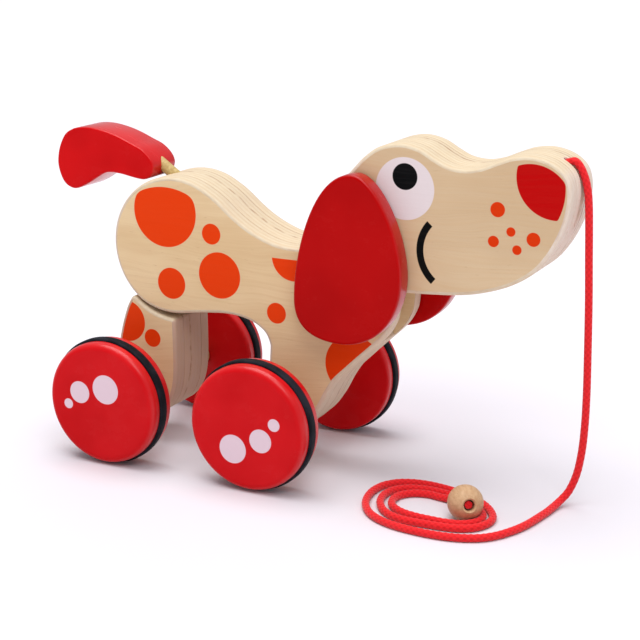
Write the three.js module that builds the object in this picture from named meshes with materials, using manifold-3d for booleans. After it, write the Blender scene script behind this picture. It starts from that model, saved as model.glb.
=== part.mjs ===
// A pull-along toy dog of laminated wood on four wheels, with a nodding head,
// loose ears, a swinging hind leg, a tail on a peg, and a cord that ends in a bead.
//
// Millimetres. +X points to the nose, +Z up, -Y to the dog's right side.
// The shapes are drawn with X counted from the rear axle and Z from the floor.
// At the end the dog is moved along X so that its middle is over the origin.

import * as THREE from 'three';
import { mergeVertices } from 'three/addons/utils/BufferGeometryUtils.js';
import Module from 'manifold-3d';

const wasm = await Module();
wasm.setup();

// Clearances and small details that many pieces share
const seat_gap = 0.3;
const joint_gap = 0.6;
const cut_overrun = 1;
const edge_round = 1.5;
const round_steps = 2;
const bore_sides = 20;
const spline_steps = 2;
const wide_arc_steps = 28;
const short_arc_steps = 8;

// Boards of the laminate
const core_board = 14;
const side_board = 7;
const core_half = core_board / 2 - seat_gap;
const side_inner = core_board / 2;
const side_outer = side_inner + side_board;

// Wheels and axles
const wheel_base = 69;
const track_width = 95;
const wheel_width = 14;
const wheel_radius = 26;
const wheel_edge_round = 3;
const wheel_sides = 36;
const tyre_radius = 27;
const tyre_width = 4.4;
const tyre_depth = 3.4;
const tyre_inset = 7.2;
const tyre_edge = 0.9;
const axle_radius = 3;
const axle_seat_depth = 9;
const spacer_radius = 5;
const axle_height = tyre_radius;

// Rump, back, belly and neck
const rump_radius = 30;
const rump_x = 17;
const rump_z = 88.5;
const rump_top_angle = THREE.MathUtils.degToRad(58);
const rump_bottom_angle = THREE.MathUtils.degToRad(236);
const back_height = 94.6;
const belly_height = 62.8;
const groin_depth = 10.8;
const chest_reach = 49;
const shoulder_height = 80.9;
const neck_radius = 16;
const neck_reach = 34.5;
const neck_x = wheel_base + neck_reach;
const neck_z = 95;
const nape_angle = THREE.MathUtils.degToRad(155);
const throat_height = 57.3;
const throat_reach = 40.5;
const slot_behind_neck = 22.5;
const pin_radius = 4;
const pin_cover = 2.5;

// Front leg and chest: x shares of the chest reach from the front axle, z shares of the shoulder height
const front_leg_shares = [
  [-0.143, 0.643], [-0.15, 0.56], [-0.165, 0.408], [-0.167, 0.309], [-0.151, 0.237],
  [-0.098, 0.184], [-0.016, 0.156], [0.067, 0.176], [0.143, 0.215], [0.237, 0.271],
  [0.333, 0.357], [0.4, 0.435], [0.473, 0.503], [0.567, 0.561], [0.661, 0.617],
  [0.751, 0.669], [0.841, 0.721], [0.906, 0.763], [0.953, 0.807], [0.988, 0.858], [1, 0.915],
];
// Nape and back: x shares of the way from rump to neck, z shares of the rise from back to rump
const back_shares = [
  [0.805, 0.142], [0.758, 0.033], [0.688, 0], [0.613, 0], [0.538, 0.046], [0.458, 0.151],
  [0.383, 0.293], [0.317, 0.46], [0.259, 0.632], [0.215, 0.745],
];

// Under the rump and the belly to the front leg: x shares of the way from the rump to the front axle,
// z shares of the groin's depth below the belly
const belly_shares = [
  [-0.254, 0.079], [-0.158, 0.213], [-0.062, 0.264], [0.033, 0.241], [0.129, 0.176],
  [0.223, 0.111], [0.317, 0.056], [0.412, 0.009], [0.48, 0], [0.55, 0.019],
  [0.64, 0.083], [0.731, 0.231], [0.777, 0.361], [0.821, 0.537], [0.848, 0.759], [0.865, 1],
];

// Hind leg
const leg_width = 32;
const leg_height = 66;
const leg_gap = 1;
const leg_swing = THREE.MathUtils.degToRad(12);
const leg_top_right_angle = THREE.MathUtils.degToRad(268.9);
const leg_top_left_angle = THREE.MathUtils.degToRad(226.2);
const tongue_radius = 11;
const tongue_width = 16;
const tongue_length = 38;
const tongue_angle = THREE.MathUtils.degToRad(248);
// x shares of the leg's width from the rear axle, z shares of its height
const leg_shares = [
  [-0.194, 0.961], [-0.25, 0.909], [-0.322, 0.809], [-0.378, 0.705], [-0.422, 0.598],
  [-0.447, 0.492], [-0.444, 0.394], [-0.375, 0.297], [-0.238, 0.226], [-0.056, 0.191],
  [0.131, 0.191], [0.278, 0.229], [0.4, 0.3], [0.478, 0.394], [0.513, 0.515], [0.517, 0.697],
];

// Head
const head_reach = 84.2;
const head_height = 58.7;
const head_bottom = 81.3;
const head_tongue_radius = 15;
const jaw_angle = THREE.MathUtils.degToRad(-38);
const skull_angle = THREE.MathUtils.degToRad(140);
// From the back of the skull over the eye and the nose to the chin:
// x shares of the reach from the neck pin, z shares of the height above the chin
const head_shares = [
  [-0.178, 0.438], [-0.165, 0.557], [-0.122, 0.687], [-0.056, 0.797], [0.008, 0.893],
  [0.083, 0.966], [0.184, 1], [0.28, 0.978], [0.365, 0.915], [0.426, 0.877],
  [0.505, 0.865], [0.582, 0.886], [0.659, 0.932], [0.736, 0.971], [0.825, 0.981],
  [0.914, 0.947], [0.977, 0.874], [1, 0.77], [0.995, 0.651], [0.971, 0.52],
  [0.918, 0.363], [0.843, 0.23], [0.736, 0.129], [0.612, 0.063], [0.493, 0.027],
  [0.35, 0.009], [0.24, 0], [0.152, 0],
];

// Groove over the nose, in which the cord lies
const groove_width = 4;
const groove_top_reach = 76.4;
const groove_top_height = 56.2;
const groove_bottom_reach = 81.3;
const groove_bottom_height = 27;
const groove_depth = 20;

// Ears
const ear_width = 46.8;
const ear_length = 68.5;
const ear_thickness = 8;
const ear_round = 1.2;
const ear_gap = 0.6;
const ear_pin_radius = 3;
const ear_pin_behind_neck = 0.5;
const ear_pin_above_neck = 23;
const ear_pin_x = neck_x - ear_pin_behind_neck;
const ear_pin_z = neck_z + ear_pin_above_neck;
const ear_pin_depth = 5.5;
const ear_left_turn = THREE.MathUtils.degToRad(15.5);
const ear_steps = 10;
// Corner and handle points of four curves round an ear, in shares of its width and length from the pin
const ear_shares = [
  [0, 0.143], [0.203, 0.143], [0.455, -0.19],
  [0.455, -0.438], [0.455, -0.657], [0.235, -0.857],
  [-0.107, -0.857], [-0.374, -0.857], [-0.545, -0.788],
  [-0.545, -0.613], [-0.545, -0.336], [-0.363, 0.143],
];

// Tail and its peg
const tail_length = 49;
const tail_height = 27.1;
const tail_thickness = 18;
const tail_round = 0.8;
const tail_front = 4.6;
const tail_bottom = 108.5;
const peg_radius = 2.5;
const peg_angle = THREE.MathUtils.degToRad(146);
const peg_x = 8.9;
const peg_z = 117.3;
const peg_out_of_body = 13;
const peg_in_body = 14;
// Round the tail from its front end over the top to the tip and back:
// x shares of its length backwards from the front end, z shares of its height
const tail_shares = [
  [0, 0.45], [0.017, 0.544], [0.057, 0.635], [0.126, 0.729], [0.228, 0.804], [0.329, 0.878], [0.431, 0.937],
  [0.534, 0.978], [0.639, 1], [0.746, 0.993], [0.833, 0.955], [0.913, 0.863], [0.969, 0.69],
  [0.996, 0.519], [1, 0.352], [0.967, 0.161], [0.914, 0.045], [0.826, 0], [0.714, 0.075],
  [0.605, 0.193], [0.518, 0.285], [0.447, 0.314], [0.344, 0.306], [0.242, 0.276], [0.181, 0.258],
  [0.108, 0.25], [0.054, 0.285], [0.015, 0.36],
];

// Cord, loops and bead
const cord_radius = 1.5;
const cord_sides = 8;
const cord_hole_radius = 2;
const cord_hole_depth = 10;
const cord_hole_reach = 76.9;
const cord_hole_height = 53.4;
const cord_hole_angle = THREE.MathUtils.degToRad(20);
const cord_in_hole = 6;
const cord_step = 6.5;
const cord_end_straight = 3;
const loop_sides = 6;
const loop_step = 4;
const loop_apart = 40;
const lead_handle = 6;
const lead_steps = 6;
const gap_samples = 6;
const bead_radius = 7;
const bead_hole_radius = 2.2;
const bead_half_length = 6.4;
const bead_sides = 24;
const bead_arc_steps = 12;
const bead_ahead = 53.7;
const bead_x = neck_x + bead_ahead;
const bead_y = -33;
const bead_turn = THREE.MathUtils.degToRad(-54);
const bead_lift = THREE.MathUtils.degToRad(11);
const cord_end_cover = 1.6;
// The cord's free stretch from the nose to the loops: x ahead of the neck pin, y, and z above the floor
const cord_route = [
  [80.7, 0, 136], [82.7, 0, 134.4], [84.2, 0, 131.8], [85.4, 0, 128.6], [86.3, 0, 124.8],
  [86.9, 0, 119.5], [87.4, 0, 110.7], [87.9, 0, 99.2], [88.6, 0, 83.7], [89.2, 0, 64],
  [89.6, 0, 45], [89.4, 0, 31.6], [88.7, -0.2, 21.5], [87.2, -0.9, 12.5], [84.8, -2.4, 5.9],
  [82.7, -5, 3], [81.4, -9.6, 1.8], [80.5, -15.8, 1.5], [79.4, -21.9, 1.5], [78.2, -28.1, 1.5],
  [76.5, -34.1, 1.5], [74.1, -39.8, 1.5], [71, -45.2, 1.5], [66.7, -49.7, 1.5], [61.2, -52.7, 1.5],
  [55.2, -54.4, 1.5], [49, -55, 1.5],
];
// The loops, which lie flat on the floor, from the outside in: x ahead of the neck pin, and y
const loop_route = [
  [42.8, -54.9], [36.6, -54.3], [30.5, -52.9], [24.8, -50.4], [19.8, -46.7], [15.9, -41.8],
  [13.2, -36.2], [11.7, -30.1], [11.5, -23.9], [13.1, -17.9], [17, -13.1], [22.6, -10.4],
  [28.8, -9.6], [35, -10.2], [41.1, -11.5], [47, -13.5], [52.5, -16.4], [57.4, -20.3],
  [61.4, -25], [64.1, -30.6], [63.9, -36.8], [60.9, -42.2], [55.6, -45.4], [49.5, -46.6],
  [43.2, -47], [37, -47.2], [30.8, -46.4], [25.3, -43.5], [21.1, -39], [18.2, -33.4],
  [17.1, -27.3], [18.4, -21.3], [22.7, -16.9], [28.6, -14.9], [34.8, -14.8], [40.9, -15.9],
  [46.8, -18], [52.3, -21], [56.8, -25.3], [60.1, -30.6], [59.7, -36.6], [55.4, -40.9],
  [49.3, -42.3], [43.1, -42.4], [36.9, -42], [30.8, -40.5], [25.6, -37.2], [22.5, -31.9],
  [22.7, -25.8], [26.6, -21], [32.4, -19.1], [38.3, -19.8],
];

// Materials
const finish = (color, roughness) => new THREE.MeshStandardMaterial({ color, roughness, metalness: 0 });
const pale_wood = 0xd2b491;
const edge_wood = 0xc09a76;
const peg_wood = 0xc8af6e;
const bead_wood = 0xc8aa87;
const ear_red = 0xb20a08;
const wheel_red = 0xc8191e;
const cord_red = 0xdc191e;
const rubber_black = 0x191c26;
const satin = 0.55;
const gloss = 0.3;
const dull = 0.85;

// Outline helpers, all in the plane of X and Z

const spot = (x, z) => new THREE.Vector2(x, z);

function arc(x, z, radius, from, to, steps) {
  const points = [];
  for (let k = 0; k <= steps; k += 1) {
    const angle = from + ((to - from) * k) / steps;
    points.push(spot(x + radius * Math.cos(angle), z + radius * Math.sin(angle)));
  }
  return points;
}

function curve_through(points, steps_between) {
  return new THREE.SplineCurve(points).getPoints((points.length - 1) * steps_between);
}

function placed(shares, x, z, width, height) {
  return shares.map(([across, up]) => spot(x + across * width, z + up * height));
}

// Solids

function solid_of(geometry) {
  const plain = geometry.clone();
  plain.deleteAttribute('normal');
  plain.deleteAttribute('uv');
  const merged = mergeVertices(plain);
  const mesh = new wasm.Mesh({
    numProp: 3,
    vertProperties: merged.attributes.position.array,
    triVerts: new Uint32Array(merged.index.array),
  });
  return new wasm.Manifold(mesh);
}

function geometry_of(solid) {
  const mesh = solid.getMesh();
  const geometry = new THREE.BufferGeometry();
  geometry.setAttribute('position', new THREE.BufferAttribute(mesh.vertProperties, 3));
  geometry.setIndex(new THREE.BufferAttribute(mesh.triVerts, 1));
  return geometry;
}

// A flat slice of an outline between two values of y, with square edges
function slice(points, y_from, y_to) {
  const geometry = new THREE.ExtrudeGeometry(new THREE.Shape(points), {
    depth: y_to - y_from,
    bevelEnabled: false,
  });
  geometry.rotateX(Math.PI / 2);
  geometry.translate(0, y_to, 0);
  return geometry;
}

// The same with rounded edges on both faces
function rounded_slice(points, y_from, y_to, radius) {
  const geometry = new THREE.ExtrudeGeometry(new THREE.Shape(points), {
    depth: y_to - y_from - 2 * radius,
    bevelEnabled: true,
    bevelThickness: radius,
    bevelSize: radius,
    bevelOffset: -radius,
    bevelSegments: round_steps,
  });
  geometry.rotateX(Math.PI / 2);
  geometry.translate(0, y_to - radius, 0);
  return geometry;
}

// A board on the outside of the laminate: its outer edges are rounded, its glued face is flat
function side_slice(points, side) {
  const whole = solid_of(rounded_slice(points, -side_outer, side_outer, edge_round));
  const box = new THREE.Box3().setFromPoints(points.map((point) => new THREE.Vector3(point.x, 0, point.y)));
  const size = box.getSize(new THREE.Vector3());
  const centre = box.getCenter(new THREE.Vector3());
  const trim_depth = side_inner + side_outer + cut_overrun;
  const trim = new THREE.BoxGeometry(size.x + 2 * cut_overrun, trim_depth, size.z + 2 * cut_overrun);
  trim.translate(centre.x, side * (side_inner - trim_depth / 2), centre.z);
  return whole.subtract(solid_of(trim));
}

// A round bar along Y, for pins and for the holes that take them
function bar_along_y(radius, y_from, y_to, x, z) {
  const geometry = new THREE.CylinderGeometry(radius, radius, y_to - y_from, bore_sides);
  geometry.translate(x, (y_from + y_to) / 2, z);
  return geometry;
}

function piece(name, geometry, color, roughness) {
  const mesh = new THREE.Mesh(geometry, finish(color, roughness));
  mesh.name = name;
  return mesh;
}

const toy = new THREE.Group();
const side_names = [[-1, 'right'], [1, 'left']];

// Outlines

const front_leg = curve_through(
  placed(front_leg_shares, wheel_base, 0, chest_reach, shoulder_height), spline_steps,
);
const back_rise = rump_z + rump_radius - back_height;
const back = curve_through(
  placed(back_shares, rump_x, back_height, neck_x - rump_x, back_rise), spline_steps,
);
const shoulder_angle = -Math.asin((neck_z - shoulder_height) / neck_radius);
const belly = curve_through(
  placed(belly_shares, rump_x, belly_height, wheel_base - rump_x, -groin_depth), spline_steps,
);
const belly_line = [
  ...arc(rump_x, rump_z, rump_radius, rump_top_angle, rump_bottom_angle, wide_arc_steps),
  ...belly,
];
const body_side_outline = [
  ...belly_line,
  ...front_leg.slice(1),
  spot(wheel_base + chest_reach, shoulder_height),
  ...arc(neck_x, neck_z, neck_radius, shoulder_angle, nape_angle, wide_arc_steps),
  ...back,
];
// The middle board stops short of the neck along one straight cut that clears the head's tongue
const slot_x = neck_x - slot_behind_neck;
const body_core_outline = [
  ...belly_line,
  ...front_leg.slice(1).filter((point) => point.y < throat_height),
  spot(wheel_base + throat_reach, throat_height),
  spot(slot_x, back_height),
  ...back.filter((point) => point.x < slot_x),
];
const leg_arc_radius = rump_radius + leg_gap;
const leg_outline = [
  ...arc(rump_x, rump_z, leg_arc_radius, leg_top_right_angle, leg_top_left_angle, short_arc_steps),
  ...curve_through(placed(leg_shares, 0, 0, leg_width, leg_height), spline_steps),
];
const head_line = curve_through(
  placed(head_shares, neck_x, head_bottom, head_reach, head_height), spline_steps,
);
const cheek_arc_radius = neck_radius + joint_gap;
const cheek_outline = [
  ...arc(neck_x, neck_z, cheek_arc_radius, jaw_angle, skull_angle, wide_arc_steps / 2),
  ...head_line,
];
const tongue_end = skull_angle - 2 * Math.PI;
const head_core_outline = [
  ...arc(neck_x, neck_z, head_tongue_radius, -Math.PI / 2, tongue_end, wide_arc_steps / 2),
  ...head_line,
];

function ear_outline(turn) {
  const pin = spot(ear_pin_x, ear_pin_z);
  const corners = placed(ear_shares, ear_pin_x, ear_pin_z, ear_width, ear_length);
  const points = [];
  for (let k = 0; k < corners.length; k += 3) {
    const last = corners[(k + 3) % corners.length];
    const curve = new THREE.CubicBezierCurve(corners[k], corners[k + 1], corners[k + 2], last);
    points.push(...curve.getPoints(ear_steps).slice(1));
  }
  return points.map((point) => point.rotateAround(pin, turn));
}

// The hind leg's tongue, and the space that it and its swing need in the rump

function beside(angle, distance, offset) {
  const along = spot(Math.cos(angle), Math.sin(angle)).multiplyScalar(distance);
  const across = spot(-Math.sin(angle), Math.cos(angle)).multiplyScalar(offset);
  return spot(rump_x, rump_z).add(along).add(across);
}

function tongue_shape(radius, half_width, length, swing, y_half) {
  const rear = [beside(tongue_angle, 0, -half_width), beside(tongue_angle, length, -half_width)];
  const front_angle = tongue_angle + swing;
  const front = [beside(front_angle, length, half_width), beside(front_angle, 0, half_width)];
  const disc = solid_of(bar_along_y(radius, -y_half, y_half, rump_x, rump_z));
  return disc.add(solid_of(slice([...rear, ...front], -y_half, y_half)));
}

// Holes

const hole_half = side_outer + cut_overrun;
const blind_half = side_outer - pin_cover + seat_gap;
const axle_hole = (x) => solid_of(bar_along_y(axle_radius + seat_gap, -hole_half, hole_half, x, axle_height));
const blind_hole = (x, z) => solid_of(bar_along_y(pin_radius + seat_gap, -blind_half, blind_half, x, z));
const ear_pin_hole = solid_of(
  bar_along_y(ear_pin_radius + seat_gap, -hole_half, hole_half, ear_pin_x, ear_pin_z),
);

// A round bar in the plane y = 0, from one distance to another along a direction
function bar_in_plane(radius, x, z, angle, from, to) {
  const geometry = new THREE.CylinderGeometry(radius, radius, to - from, bore_sides);
  geometry.translate(0, (from + to) / 2, 0);
  geometry.rotateZ(-Math.PI / 2);
  geometry.rotateY(-angle);
  geometry.translate(x, 0, z);
  return geometry;
}

// Body

const rump_slot_length = rump_radius + tongue_width / 2;
const rump_slot = tongue_shape(
  tongue_radius + joint_gap, tongue_width / 2 + seat_gap, rump_slot_length, leg_swing, side_inner,
);
const peg_hole_radius = peg_radius + seat_gap;
const peg_hole_end = -peg_in_body - seat_gap;
const peg_hole = solid_of(
  bar_in_plane(peg_hole_radius, peg_x, peg_z, peg_angle, peg_hole_end, cut_overrun + peg_radius),
);
const body_core = solid_of(slice(body_core_outline, -core_half, core_half))
  .subtract(rump_slot)
  .subtract(peg_hole)
  .subtract(axle_hole(wheel_base));
toy.add(piece('body_core', geometry_of(body_core), edge_wood, satin));
for (const [side, label] of side_names) {
  const board = side_slice(body_side_outline, side)
    .subtract(blind_hole(rump_x, rump_z))
    .subtract(blind_hole(neck_x, neck_z))
    .subtract(axle_hole(wheel_base));
  toy.add(piece(`body_side_${label}`, geometry_of(board), pale_wood, satin));
}
const pin_half = side_outer - pin_cover;
toy.add(piece('hind_leg_pin', bar_along_y(pin_radius, -pin_half, pin_half, rump_x, rump_z), peg_wood, satin));
toy.add(piece('neck_pin', bar_along_y(pin_radius, -pin_half, pin_half, neck_x, neck_z), peg_wood, satin));
toy.add(piece(
  'tail_peg',
  bar_in_plane(peg_radius, peg_x, peg_z, peg_angle, -peg_in_body, peg_out_of_body),
  peg_wood,
  satin,
));

// Hind leg

const leg_core = solid_of(slice(leg_outline, -core_half, core_half))
  .add(tongue_shape(tongue_radius, tongue_width / 2, tongue_length, 0, core_half))
  .subtract(blind_hole(rump_x, rump_z))
  .subtract(axle_hole(0));
toy.add(piece('hind_leg_core', geometry_of(leg_core), edge_wood, satin));
for (const [side, label] of side_names) {
  const board = side_slice(leg_outline, side).subtract(axle_hole(0));
  toy.add(piece(`hind_leg_side_${label}`, geometry_of(board), pale_wood, satin));
}

// Head, with the groove over the nose and the hole from which the cord comes

const groove_top = spot(neck_x + groove_top_reach, head_bottom + groove_top_height);
const groove_bottom = spot(neck_x + groove_bottom_reach, head_bottom + groove_bottom_height);
const groove_outside = spot(groove_depth, 0);
const groove = slice([
  groove_top,
  groove_bottom,
  groove_bottom.clone().add(groove_outside),
  groove_top.clone().add(groove_outside),
], -groove_width / 2, groove_width / 2);
const cord_hole_x = neck_x + cord_hole_reach;
const cord_hole_z = head_bottom + cord_hole_height;
const cord_hole = bar_in_plane(
  cord_hole_radius, cord_hole_x, cord_hole_z, cord_hole_angle, -cord_hole_depth, cord_hole_radius,
);
const head_core = solid_of(slice(head_core_outline, -core_half, core_half))
  .subtract(solid_of(groove))
  .subtract(solid_of(cord_hole))
  .subtract(ear_pin_hole)
  .subtract(blind_hole(neck_x, neck_z));
toy.add(piece('head_core', geometry_of(head_core), edge_wood, satin));
for (const [side, label] of side_names) {
  const cheek = side_slice(cheek_outline, side).subtract(ear_pin_hole);
  toy.add(piece(`head_cheek_${label}`, geometry_of(cheek), pale_wood, satin));
}
const ear_inner = side_outer + ear_gap;
const ear_pin_half = ear_inner + ear_pin_depth;
toy.add(piece(
  'ear_pin', bar_along_y(ear_pin_radius, -ear_pin_half, ear_pin_half, ear_pin_x, ear_pin_z), peg_wood, satin,
));

// Ears: the left one hangs turned a little forward

for (const [side, label] of side_names) {
  const outline = ear_outline(side > 0 ? ear_left_turn : 0);
  const middle = side * (ear_inner + ear_thickness / 2);
  const board = rounded_slice(outline, middle - ear_thickness / 2, middle + ear_thickness / 2, ear_round);
  const hole_end = ear_pin_half + seat_gap;
  const hole = bar_along_y(ear_pin_radius + seat_gap, -hole_end, hole_end, ear_pin_x, ear_pin_z);
  toy.add(piece(`ear_${label}`, geometry_of(solid_of(board).subtract(solid_of(hole))), ear_red, gloss));
}

// Tail

const tail_outline = curve_through(
  placed(tail_shares, tail_front, tail_bottom, -tail_length, tail_height), spline_steps,
);
const tail_board = rounded_slice(tail_outline, -tail_thickness / 2, tail_thickness / 2, tail_round);
const tail_hole = bar_in_plane(peg_hole_radius, peg_x, peg_z, peg_angle, 0, peg_out_of_body + seat_gap);
toy.add(piece('tail', geometry_of(solid_of(tail_board).subtract(solid_of(tail_hole))), ear_red, gloss));

// Wheels, tyres, spacers and axles

// Turns a profile of [radius, distance from the toy's middle] round the axle at x, on one side
function turned(profile, side, x) {
  const geometry = new THREE.LatheGeometry(profile.map(([r, y]) => spot(r, y)), wheel_sides);
  if (side < 0) {
    geometry.rotateZ(Math.PI);
  }
  geometry.translate(x, 0, axle_height);
  return geometry;
}

function rounded_corner(r, y, radius, from) {
  return arc(r, y, radius, from, from + Math.PI / 2, round_steps).map((point) => [point.x, point.y]);
}

const wheel_outer = track_width / 2;
const wheel_inner = wheel_outer - wheel_width;
const tyre_middle = wheel_outer - tyre_inset;
const groove_half = tyre_width / 2 + seat_gap;
const groove_floor = tyre_radius - tyre_depth - seat_gap;
const axle_half = wheel_inner + axle_seat_depth;
const wheel_bore = axle_radius + seat_gap;
const wheel_profile = [
  [0, axle_half + seat_gap],
  [wheel_bore, axle_half + seat_gap],
  [wheel_bore, wheel_inner],
  ...rounded_corner(wheel_radius - edge_round, wheel_inner + edge_round, edge_round, -Math.PI / 2),
  [wheel_radius, tyre_middle - groove_half],
  [groove_floor, tyre_middle - groove_half],
  [groove_floor, tyre_middle + groove_half],
  [wheel_radius, tyre_middle + groove_half],
  ...rounded_corner(wheel_radius - wheel_edge_round, wheel_outer - wheel_edge_round, wheel_edge_round, 0),
  [0, wheel_outer],
];
const tyre_inner_radius = tyre_radius - tyre_depth;
const tyre_bend = tyre_radius - tyre_edge;
const tyre_profile = [
  [tyre_inner_radius, tyre_middle - tyre_width / 2],
  ...rounded_corner(tyre_bend, tyre_middle - tyre_width / 2 + tyre_edge, tyre_edge, -Math.PI / 2),
  ...rounded_corner(tyre_bend, tyre_middle + tyre_width / 2 - tyre_edge, tyre_edge, 0),
  [tyre_inner_radius, tyre_middle + tyre_width / 2],
  [tyre_inner_radius, tyre_middle - tyre_width / 2],
];
const spacer_start = side_outer + joint_gap;
const spacer_end = wheel_inner - seat_gap;
const spacer_profile = [
  [wheel_bore, spacer_start],
  [spacer_radius, spacer_start],
  [spacer_radius, spacer_end],
  [wheel_bore, spacer_end],
  [wheel_bore, spacer_start],
];
for (const [place, x] of [['rear', 0], ['front', wheel_base]]) {
  const axle = bar_along_y(axle_radius, -axle_half, axle_half, x, axle_height);
  toy.add(piece(`${place}_axle`, axle, peg_wood, satin));
  for (const [side, label] of side_names) {
    toy.add(piece(`${place}_wheel_${label}`, turned(wheel_profile, side, x), wheel_red, gloss));
    toy.add(piece(`${place}_tyre_${label}`, turned(tyre_profile, side, x), rubber_black, dull));
    toy.add(piece(`${place}_spacer_${label}`, turned(spacer_profile, side, x), peg_wood, satin));
  }
}

// Bead

const bead_axis = new THREE.Vector3(
  Math.cos(bead_lift) * Math.cos(bead_turn),
  Math.cos(bead_lift) * Math.sin(bead_turn),
  Math.sin(bead_lift),
);
const bead_middle = new THREE.Vector3(bead_x, bead_y, bead_radius);
const bead_end_angle = Math.asin(bead_half_length / bead_radius);
const bead_profile = [
  spot(bead_hole_radius, -bead_half_length),
  ...arc(0, 0, bead_radius, -bead_end_angle, bead_end_angle, bead_arc_steps),
  spot(bead_hole_radius, bead_half_length),
  spot(bead_hole_radius, -bead_half_length),
];
const bead = new THREE.LatheGeometry(bead_profile, bead_sides);
const bead_pose = new THREE.Quaternion().setFromUnitVectors(new THREE.Vector3(0, 1, 0), bead_axis);
bead.applyQuaternion(bead_pose);
bead.translate(bead_middle.x, bead_middle.y, bead_middle.z);
toy.add(piece('pull_bead', bead, bead_wood, satin));

// Cord: its loops on the floor, then up into the bead

const loop_spots = loop_route.map(([x, y]) => new THREE.Vector3(neck_x + x, y, cord_radius));
const [before_x, before_y, before_z] = cord_route[cord_route.length - 1];
const before_loops = new THREE.Vector3(neck_x + before_x, before_y, before_z);
const loop_start = loop_spots[0];
const loop_direction = loop_spots[1].clone().sub(before_loops).normalize();
const loop_curve = new THREE.CatmullRomCurve3([
  loop_start,
  loop_start.clone().addScaledVector(loop_direction, cord_end_straight),
  ...loop_spots.slice(1),
], false, 'centripetal');
const loop_line = loop_curve.getSpacedPoints(Math.round(loop_curve.getLength() / loop_step));
const [loops_before_end, loops_end] = loop_spots.slice(-2);
const loops_end_direction = loops_end.clone().sub(loops_before_end).normalize();
const bead_entry = bead_middle.clone().addScaledVector(bead_axis, -bead_half_length - cord_end_straight);
const lead = new THREE.CubicBezierCurve3(
  loops_end,
  loops_end.clone().addScaledVector(loops_end_direction, lead_handle),
  bead_entry.clone().addScaledVector(bead_axis, -lead_handle / 2),
  bead_entry,
);
loop_line.push(...lead.getPoints(lead_steps).slice(1));
loop_line.push(bead_middle.clone());
loop_line.push(bead_middle.clone().addScaledVector(bead_axis, bead_half_length - cord_end_cover));

// A tube of rings round a line, each ring square to the line and turned like the one before it
function tube_round(line, radius, sides) {
  const positions = [];
  const faces = [];
  const tangents = line.map((point, k) => {
    const before = line[Math.max(k - 1, 0)];
    const after = line[Math.min(k + 1, line.length - 1)];
    return after.clone().sub(before).normalize();
  });
  const normal = new THREE.Vector3(0, 0, 1);
  line.forEach((point, k) => {
    const tangent = tangents[k];
    normal.addScaledVector(tangent, -normal.dot(tangent)).normalize();
    const across = tangent.clone().cross(normal);
    for (let s = 0; s < sides; s += 1) {
      const angle = (2 * Math.PI * s) / sides;
      const corner = point.clone()
        .addScaledVector(normal, radius * Math.cos(angle))
        .addScaledVector(across, radius * Math.sin(angle));
      positions.push(...corner.toArray());
    }
  });
  for (let k = 0; k < line.length - 1; k += 1) {
    for (let s = 0; s < sides; s += 1) {
      const a = k * sides + s;
      const b = k * sides + ((s + 1) % sides);
      faces.push(a, b, a + sides);
      faces.push(b, b + sides, a + sides);
    }
  }
  const last = (line.length - 1) * sides;
  for (let s = 1; s < sides - 1; s += 1) {
    faces.push(0, s + 1, s);
    faces.push(last, last + s, last + s + 1);
  }
  const geometry = new THREE.BufferGeometry();
  geometry.setAttribute('position', new THREE.Float32BufferAttribute(positions, 3));
  geometry.setIndex(faces);
  return geometry;
}

// The least gap from the tube to itself, on points that are well apart along its line
function least_self_gap(line, radius) {
  const points = [];
  for (let k = 0; k < line.length - 1; k += 1) {
    for (let s = 0; s < gap_samples; s += 1) {
      points.push(line[k].clone().lerp(line[k + 1], s / gap_samples));
    }
  }
  const apart = Math.round((loop_apart / loop_step) * gap_samples);
  let least = Infinity;
  for (let a = 0; a < points.length; a += 1) {
    for (let b = a + apart; b < points.length; b += 1) {
      least = Math.min(least, points[a].distanceTo(points[b]));
    }
  }
  return least - 2 * radius;
}

const loop_gap = least_self_gap(loop_line, cord_radius);
console.log(`least gap of the cord's loops to themselves: ${loop_gap.toFixed(2)} mm`);
toy.add(piece('pull_cord_loops', tube_round(loop_line, cord_radius, loop_sides), cord_red, dull));

// Cord: its free stretch, from inside the hole in the nose to the loops

const hole_direction = new THREE.Vector3(Math.cos(cord_hole_angle), 0, Math.sin(cord_hole_angle));
const hole_mouth = new THREE.Vector3(cord_hole_x, 0, cord_hole_z);
const stretch_end = loop_start.clone().addScaledVector(loop_direction, -seat_gap);
const stretch = new THREE.CatmullRomCurve3([
  hole_mouth.clone().addScaledVector(hole_direction, -cord_in_hole),
  hole_mouth,
  ...cord_route.map(([x, y, z]) => new THREE.Vector3(neck_x + x, y, z)),
  stretch_end.clone().addScaledVector(loop_direction, -cord_end_straight),
  stretch_end,
], false, 'centripetal');
const section_points = [];
for (let s = 0; s < cord_sides; s += 1) {
  const angle = (2 * Math.PI * s) / cord_sides;
  section_points.push(spot(cord_radius * Math.cos(angle), cord_radius * Math.sin(angle)));
}
const cord = new THREE.ExtrudeGeometry(new THREE.Shape(section_points), {
  steps: Math.round(stretch.getLength() / cord_step),
  bevelEnabled: false,
  extrudePath: stretch,
});
toy.add(piece('pull_cord', cord, cord_red, dull));

// The dog without its cord stands with its middle over the origin

const dog = new THREE.Box3();
for (const mesh of toy.children) {
  if (!mesh.name.startsWith('pull_')) {
    mesh.geometry.computeBoundingBox();
    dog.union(mesh.geometry.boundingBox);
  }
}
const middle_x = (dog.min.x + dog.max.x) / 2;
for (const mesh of toy.children) {
  mesh.geometry.translate(-middle_x, 0, 0);
}

export default toy;
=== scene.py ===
from math import asin, cos, degrees, pi, radians, sin, tau

import bpy
import numpy as np
from mathutils import Matrix, Vector


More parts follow.
